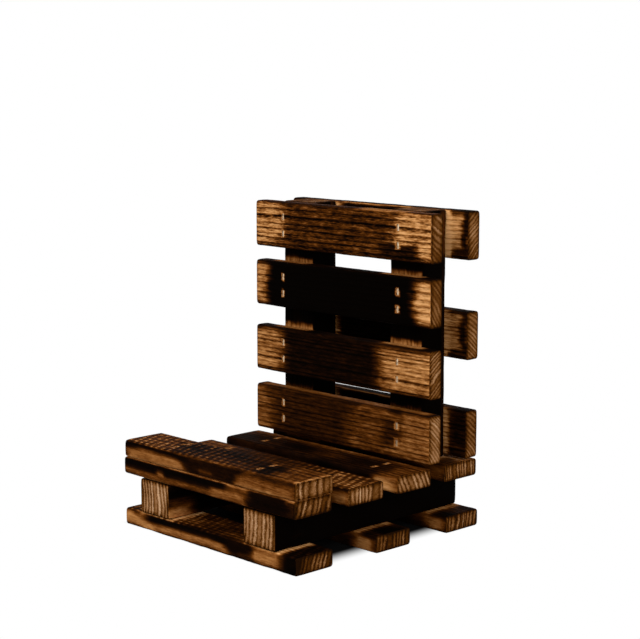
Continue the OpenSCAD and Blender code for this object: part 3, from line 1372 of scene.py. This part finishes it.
@dataclass
class Fasteners:
    """The brads and the two screws from below, which keep their nodes.

    Attributes:
        brad_groups: The nodes of the brads.
        screws: The node of the screws.
        sooted: The nodes whose heads the flame blackened.
        clear: Gap between a head and the pocket over it, in millimetres.
    """

    brad_groups: tuple[str, ...] = (
        "base_bottom_brads",
        "base_top_brads",
        "lip_brads",
        "back_front_brads",
        "back_rear_brads",
    )
    screws: str = "back_screws"
    sooted: tuple[str, ...] = ("lip_brads", "base_top_brads")
    clear: float = 0.03

    def dress(self) -> None:
        """Gives each fastener node its metal."""
        wire = PlatedWire("resin_coated_brad_wire", "#e6d3b4", "#a5855c", 0.5).make()
        sooted = PlatedWire("sooted_brad_wire", "#a88662", "#5a4028", 0.55).make()
        zinc = PlatedWire("yellow_zinc_screw_steel", "#dccb94", "#a08a55", 0.32).make()
        for node in self.brad_groups:
            set_material(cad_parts[node], sooted if node in self.sooted else wire)
        set_material(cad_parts[self.screws], zinc)

    def holes(self, bar: Bar) -> list[tuple[np.ndarray, np.ndarray]]:
        """The cuts that the fasteners need in one bar.

        Args:
            bar: The bar to bore.

        Returns:
            Low and high corner of the pocket over each head, in millimetres.
        """
        low, high = bar.corners()
        through = bar.lay.value[2]
        pockets = []
        for node in self.brad_groups:
            for brad_low, brad_high in solid_boxes(node):
                if np.any(brad_low > high) or np.any(brad_high < low):
                    continue
                if brad_low[through] - low[through] > 0 and brad_low[through] - low[through] < 0.6:
                    end, pocket = 0, (low[through] - 1.0, brad_low[through] + 1.0)
                elif 0 < high[through] - brad_high[through] < 0.6:
                    end, pocket = 1, (brad_high[through] - 1.0, high[through] + 1.0)
                else:
                    continue
                pocket_low, pocket_high = brad_low - self.clear, brad_high + self.clear
                pocket_low[through], pocket_high[through] = pocket
                pockets.append((pocket_low, pocket_high))
        return pockets


def set_material(piece: bpy.types.Object, material: bpy.types.Material) -> None:
    """Puts one material on a whole piece.

    Args:
        piece: The piece.
        material: Its material.
    """
    piece.data.materials.clear()
    piece.data.materials.append(material)


@dataclass
class Studio:
    """White stage with a painted shadow below the stand, soft lamps and the camera.

    Attributes:
        centre: The point that the camera looks at, in metres.
        azimuth: Turn of the camera to the right of the front, in degrees.
        elevation: Its height angle, in degrees.
        distance: Its distance from the centre, in metres.
        lens: Focal length on a 36 mm sensor.
        world: Strength of the light from all round.
    """

    centre: tuple[float, float, float] = (0.00517, 0.00534, 0.08386)
    azimuth: float = 45.933
    elevation: float = 8.573
    distance: float = 0.65489
    lens: float = 92.74
    world: float = 0.4

    def build(self) -> None:
        """Sets up the stage, the light and the camera."""
        self.lay_floor()
        self.light_world()
        self.add_lamp("key", 5.0, 40.0, 0.9, 0.5, 5.0)
        self.add_lamp("fill", 72.0, 18.0, 1.0, 0.6, 5.5)
        self.add_lamp("rim", 200.0, 35.0, 1.0, 0.5, 2.0)
        self.add_camera()

    @staticmethod
    def direction(azimuth: float, elevation: float) -> Vector:
        """Unit direction from the centre.

        Args:
            azimuth: Turn to the right of the front, in degrees.
            elevation: Height angle, in degrees.

        Returns:
            The direction.
        """
        turn, rise = math.radians(azimuth), math.radians(elevation)
        return Vector(
            (math.sin(turn) * math.cos(rise), -math.cos(turn) * math.cos(rise), math.sin(rise))
        )

    def aim(self, item: bpy.types.Object, azimuth: float, elevation: float, distance: float) -> None:
        """Places a lamp or the camera and turns it to the centre.

        Args:
            item: The object to place.
            azimuth: Turn to the right of the front, in degrees.
            elevation: Height angle, in degrees.
            distance: Distance from the centre, in metres.
        """
        outward = self.direction(azimuth, elevation)
        item.location = Vector(self.centre) + distance * outward
        item.rotation_euler = outward.to_track_quat("Z", "Y").to_euler()
        bpy.context.scene.collection.objects.link(item)

    @staticmethod
    def seen_directly(tree: bpy.types.NodeTree) -> bpy.types.NodeSocket:
        """Marks the rays that show the backdrop: straight, mirrored or through glass.

        Args:
            tree: The node tree.

        Returns:
            The socket that is 1 on such a ray and 0 on the ones that light the stand.
        """
        path = add_node(tree, "ShaderNodeLightPath").outputs
        shown = add_node(
            tree,
            "ShaderNodeMath",
            {0: path["Is Camera Ray"], 1: path["Is Glossy Ray"]},
            operation="MAXIMUM",
        )
        return add_node(
            tree,
            "ShaderNodeMath",
            {0: shown.outputs[0], 1: path["Is Transmission Ray"]},
            operation="MAXIMUM",
        ).outputs[0]

    def lay_floor(self) -> None:
        """Lays the pale floor, which shows white away from the stand and is painted nearly black below it, a
        painted shadow.
        """
        work = bmesh.new()
        bmesh.ops.create_grid(work, x_segments=1, y_segments=1, size=3.0)
        mesh = bpy.data.meshes.new("studio_floor")
        work.to_mesh(mesh)
        work.free()
        floor = bpy.data.objects.new("studio_floor", mesh)
        bpy.context.scene.collection.objects.link(floor)
        material = bpy.data.materials.new("white_paper_floor")
        material.use_nodes = True
        tree = material.node_tree
        tree.nodes.clear()
        paper = add_node(tree, "ShaderNodeBsdfDiffuse", {"Color": linear("#b4b4b4")})
        place = add_node(tree, "ShaderNodeTexCoord").outputs["Object"]
        # The largest of |x| and |y| is a square about the stand's foot, 3 mm to the left
        foot = add_node(
            tree, "ShaderNodeVectorMath", {0: place, 1: (0.003, 0.0, 0.0)}, operation="ADD"
        )
        flat = add_node(
            tree, "ShaderNodeVectorMath", {0: foot.outputs["Vector"]}, operation="ABSOLUTE"
        )
        sides = add_node(tree, "ShaderNodeSeparateXYZ", {0: flat.outputs["Vector"]}).outputs
        far = add_node(tree, "ShaderNodeMath", {0: sides["X"], 1: sides["Y"]}, operation="MAXIMUM")
        lift = add_node(
            tree,
            "ShaderNodeMapRange",
            {"Value": far.outputs[0], "From Min": 0.04, "From Max": 0.051, "To Min": 0.0},
            interpolation_type="SMOOTHSTEP",
        ).outputs["Result"]
        # Inside the square the camera sees the floor painted nearly black, a painted shadow; from 51 mm out the
        # glow turns it white
        rest = add_node(tree, "ShaderNodeMath", {0: 1.0, 1: lift}, operation="SUBTRACT")
        shadow = add_node(tree, "ShaderNodeMath", {0: rest.outputs[0], 1: 0.008}, operation="MULTIPLY")
        shaded = add_node(tree, "ShaderNodeBsdfDiffuse", {"Color": shadow.outputs[0]})
        glow = add_node(
            tree, "ShaderNodeEmission", {"Color": linear("#ffffff"), "Strength": lift}
        )
        bright = add_node(tree, "ShaderNodeAddShader", {0: shaded.outputs[0], 1: glow.outputs[0]})
        mix = add_node(
            tree,
            "ShaderNodeMixShader",
            {0: self.seen_directly(tree), 1: paper.outputs["BSDF"], 2: bright.outputs[0]},
        )
        add_node(tree, "ShaderNodeOutputMaterial", {"Surface": mix.outputs[0]})
        set_material(floor, material)

    def light_world(self) -> None:
        """Lights the scene from all round, and shows white to the camera and in reflections."""
        world = bpy.data.worlds.new("studio_light")
        bpy.context.scene.world = world
        world.use_nodes = True
        tree = world.node_tree
        tree.nodes.clear()
        seen = self.seen_directly(tree)
        soft = add_node(
            tree, "ShaderNodeBackground", {"Color": linear("#ffffff"), "Strength": self.world}
        )
        white = add_node(
            tree, "ShaderNodeBackground", {"Color": linear("#ffffff"), "Strength": 1.0}
        )
        mix = add_node(
            tree,
            "ShaderNodeMixShader",
            {0: seen, 1: soft.outputs[0], 2: white.outputs[0]},
        )
        add_node(tree, "ShaderNodeOutputWorld", {"Surface": mix.outputs[0]})

    def add_lamp(
        self, name: str, azimuth: float, elevation: float, distance: float, size: float, watts: float
    ) -> None:
        """Adds a soft square lamp.

        Args:
            name: Its name.
            azimuth: Turn to the right of the front, in degrees.
            elevation: Height angle, in degrees.
            distance: Distance from the centre, in metres.
            size: Side of the square, in metres.
            watts: Its power.
        """
        light = bpy.data.lights.new(name, "AREA")
        light.shape = "SQUARE"
        light.size = size
        light.energy = watts
        self.aim(bpy.data.objects.new(name, light), azimuth, elevation, distance)

    def add_camera(self) -> None:
        """Adds the camera at the photographed angle."""
        camera = bpy.data.objects.new("camera", bpy.data.cameras.new("camera"))
        camera.data.lens = self.lens
        camera.data.sensor_width = 36.0
        camera.data.sensor_fit = "HORIZONTAL"
        camera.data.clip_start = 0.01
        self.aim(camera, self.azimuth, self.elevation, self.distance)
        bpy.context.scene.camera = camera


def main() -> None:
    """Builds the stand's pieces, the stage, the lights and the camera."""
    logging.basicConfig(level=logging.INFO, format="%(message)s")
    side = TorchedWood(
        "torched_brushed_spruce",
        Cut.SIDE,
        (
            (0.0, "#dba268"),
            (0.2, "#b97f47"),
            (0.38, "#8f5a2b"),
            (0.52, "#693a13"),
            (0.64, "#4a2506"),
            (0.78, "#2a1304"),
            (0.9, "#110602"),
            (1.0, "#040201"),
        ),
        ring_share=0.3,
        fibre_share=0.8,
        patch_share=0.5,
        relief_mm=0.35,
        wander=0.5,
        fray=0.35,
        ring_ground=0.0,
        ring_profile=(
            (0.0, "#808080"),
            (0.1, "#000000"),
            (0.5, "#303030"),
            (0.8, "#ffffff"),
            (0.92, "#ffffff"),
            (1.0, "#808080"),
        ),
    ).make()
    end = TorchedWood(
        "torched_spruce_end_grain",
        Cut.END,
        (
            (0.0, "#d0a67f"),
            (0.26, "#a67a52"),
            (0.45, "#875a32"),
            (0.6, "#663d17"),
            (0.75, "#4c2806"),
            (1.0, "#1c0d03"),
        ),
        ring_share=0.7,
        fibre_share=0.45,
        patch_share=0.4,
        relief_mm=0.3,
        wander=0.7,
        fray=0.9,
        ring_ground=0.85,
        ring_profile=(
            (0.0, "#303030"),
            (0.12, "#000000"),
            (0.26, "#202020"),
            (0.45, "#c0c0c0"),
            (0.65, "#ffffff"),
            (0.85, "#c0c0c0"),
            (1.0, "#303030"),
        ),
    ).make()
    fasteners = Fasteners()
    fasteners.dress()
    LOG.info("dressed the brads and screws")
    bars = [bar for group in (BasePallet(), Lip(), BackPallet()) for bar in group.bars()]
    for bar in bars:
        others = [other for other in bars if other is not bar]
        piece = bar.build((side, end), fasteners.holes(bar), others)
        LOG.info("built %s with %d faces", piece.name, len(piece.data.polygons))
    Studio().build()
    bpy.context.scene.view_settings.view_transform = "Standard"


if __name__ == "__main__":
    main()
